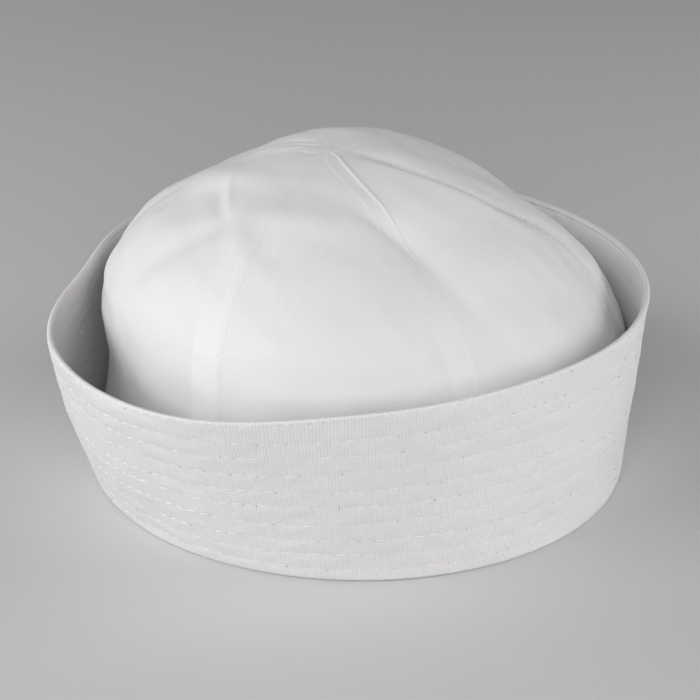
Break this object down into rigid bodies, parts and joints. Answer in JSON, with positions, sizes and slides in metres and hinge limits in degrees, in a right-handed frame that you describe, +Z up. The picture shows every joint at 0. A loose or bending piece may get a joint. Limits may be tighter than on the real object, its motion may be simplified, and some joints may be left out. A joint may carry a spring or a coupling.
{
  "type": "sailor cap",
  "caption": "Soft white cotton sailor cap: a low gored crown inside a wide, row-stitched brim turned up all round.",
  "frame": {"origin": "middle of the cap's outline in plan, on the surface that it rests on", "axes": "+Z up through the crown, -Y towards the cap's front, +X to the right as seen from the front; the head opening is longest along Y"},
  "size_m": [0.2058, 0.2252, 0.115],
  "materials": {
    "crown_cloth": "bleached white cotton twill, matt",
    "brim_cloth": "bleached white cotton twill, ribbed, sewn in rows with white thread"
  },
  "bodies": {
    "root": {"brim_outer_ply": "brim_cloth", "brim_inner_ply": "brim_cloth", "crown_gore_1": "crown_cloth", "crown_gore_2": "crown_cloth", "crown_gore_3": "crown_cloth", "crown_gore_4": "crown_cloth", "crown_gore_5": "crown_cloth", "crown_gore_6": "crown_cloth"}
  },
  "joints": []
}
